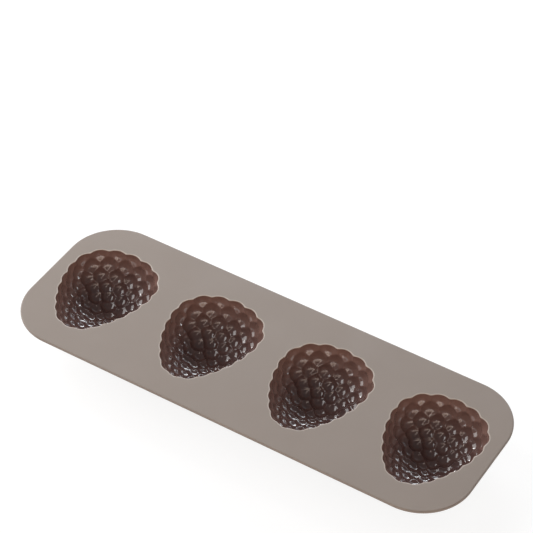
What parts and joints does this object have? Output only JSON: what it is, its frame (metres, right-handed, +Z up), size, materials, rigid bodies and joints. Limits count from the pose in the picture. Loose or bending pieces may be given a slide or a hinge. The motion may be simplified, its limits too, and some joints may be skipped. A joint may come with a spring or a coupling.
{
  "type": "silicone chocolate mould",
  "caption": "Flexible flat mould with round corners and a row of deep raspberry-shaped cups, for casting chocolate, cakes or ices that are pushed out from below.",
  "frame": {"origin": "on the ground, under the middle of the mould", "axes": "+X along the row of cups, +Y towards the round ends of the berries, +Z up out of the cups"},
  "size_m": [0.3, 0.107, 0.0317],
  "materials": {
    "deck_silicone": "matt",
    "cup_silicone": "polished"
  },
  "bodies": {
    "root": {"deck": "deck_silicone", "raspberry_cup_1": "cup_silicone", "raspberry_cup_2": "cup_silicone", "raspberry_cup_3": "cup_silicone", "raspberry_cup_4": "cup_silicone"}
  },
  "joints": []
}
